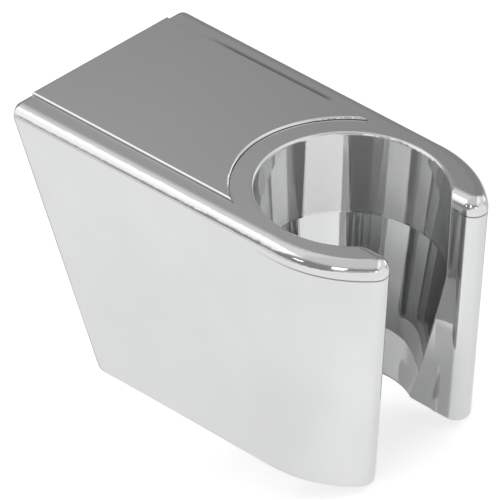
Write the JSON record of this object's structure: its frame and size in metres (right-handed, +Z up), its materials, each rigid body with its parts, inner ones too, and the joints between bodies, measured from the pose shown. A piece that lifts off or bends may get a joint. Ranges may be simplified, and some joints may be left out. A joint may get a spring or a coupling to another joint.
{
  "type": "hand shower holder",
  "caption": "Wall-mounted hand shower holder: chromed wedge body with a tapered open-front socket for the handset cone, a hose slot, and a snap-in cover cap over the fixing screws.",
  "frame": {"origin": "middle of the flat face that lies on the wall", "axes": "+X out of the wall towards the user, +Z up, +Y to the side; the part is mirror symmetric across the plane Y = 0"},
  "size_m": [0.0518, 0.033, 0.0545],
  "materials": {
    "body_chrome": "polished",
    "cap_chrome": "polished"
  },
  "bodies": {
    "root": {"holder_body": "body_chrome", "cover_cap": "cap_chrome"}
  },
  "joints": []
}
